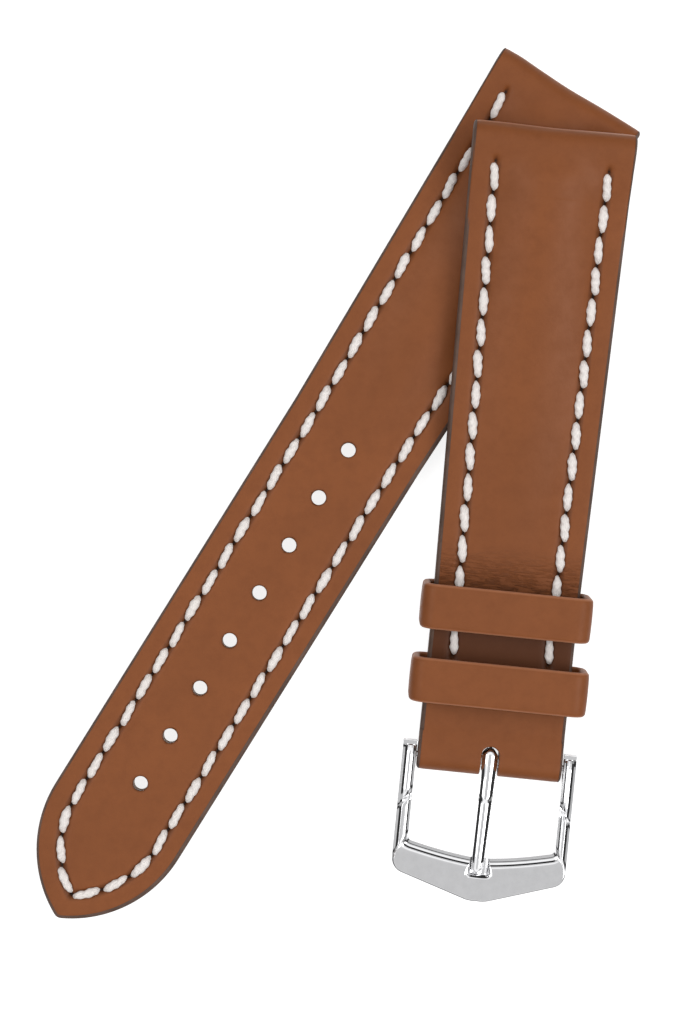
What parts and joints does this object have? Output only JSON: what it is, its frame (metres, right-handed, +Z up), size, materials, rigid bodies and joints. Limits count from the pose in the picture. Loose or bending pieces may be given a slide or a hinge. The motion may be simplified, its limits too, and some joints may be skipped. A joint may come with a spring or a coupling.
{
  "type": "leather watch strap",
  "caption": "Two-piece padded leather watch strap with white stitching, keepers and a polished tang buckle, laid flat with the buckle strap on the hole strap.",
  "frame": {"origin": "centre of the layout's plan, on the surface that it lies on", "axes": "+Z up from the surface, +Y towards the lug ends along the layout's longest side, +X to the right of the buckle strap"},
  "size_m": [0.0744, 0.1072, 0.0096],
  "materials": {
    "upper_leather": "smooth grained calf leather, golden brown, satin",
    "keeper_leather": "smooth calf leather with lighter rims",
    "lining_leather": "fine natural lining leather, matt",
    "padding": "pressed felt",
    "tape": "woven reinforcement tape",
    "thread": "white waxed linen thread",
    "edge_paint": "dark brown edge paint",
    "polished_steel": "mirror polished",
    "spring_steel": "plain turned steel"
  },
  "bodies": {
    "hole_strap": {"hole_strap_upper": "upper_leather", "hole_strap_padding": "padding", "hole_strap_tape": "tape", "hole_strap_lining": "lining_leather", "hole_strap_needle_thread": "thread", "hole_strap_bobbin_thread": "thread", "hole_strap_edge_paint": "edge_paint"},
    "buckle_strap": {"buckle_strap_upper": "upper_leather", "buckle_strap_padding": "padding", "buckle_strap_tape": "tape", "buckle_strap_lining": "lining_leather", "buckle_strap_needle_thread": "thread", "buckle_strap_bobbin_thread": "thread", "buckle_strap_edge_paint": "edge_paint", "fixed_keeper": "keeper_leather", "spring_bar_tube": "spring_steel", "spring_bar_spring": "spring_steel"},
    "free_keeper": {"free_keeper": "keeper_leather"},
    "buckle_frame": {"buckle_frame": "polished_steel"},
    "buckle_tang": {"buckle_tang": "polished_steel"},
    "plunger_left": {"spring_bar_plunger_left": "spring_steel"},
    "plunger_right": {"spring_bar_plunger_right": "spring_steel"}
  },
  "joints": [
    {"name": "buckle_strap_lift", "type": "slide", "parent": "hole_strap", "child": "buckle_strap", "axis": [0, 0, 1], "range_m": [0, 0.03]},
    {"name": "free_keeper_slide", "type": "slide", "parent": "buckle_strap", "child": "free_keeper", "axis": [-0.0999, -0.9926, -0.0691], "range_m": [-0.012, 0.0033]},
    {"name": "buckle_frame_hinge", "type": "hinge", "parent": "buckle_strap", "child": "buckle_frame", "pos_m": [0.01851, -0.03415, 0.00192], "axis": [0.995, -0.1002, 0], "range_deg": [-100, 120]},
    {"name": "buckle_tang_hinge", "type": "hinge", "parent": "buckle_frame", "child": "buckle_tang", "pos_m": [0.01851, -0.03415, 0.00192], "axis": [-0.995, 0.1002, 0], "range_deg": [0, 100]},
    {"name": "plunger_left_push", "type": "slide", "parent": "buckle_strap", "child": "plunger_left", "axis": [0.995, -0.1002, 0], "range_m": [0, 0.0012], "stiffness_N_per_m": 300, "springref_m": -0.002, "deforming": ["spring_bar_spring"]},
    {"name": "plunger_right_push", "type": "slide", "parent": "buckle_strap", "child": "plunger_right", "axis": [-0.995, 0.1002, 0], "range_m": [0, 0.0012], "stiffness_N_per_m": 300, "springref_m": -0.002, "deforming": ["spring_bar_spring"]}
  ]
}
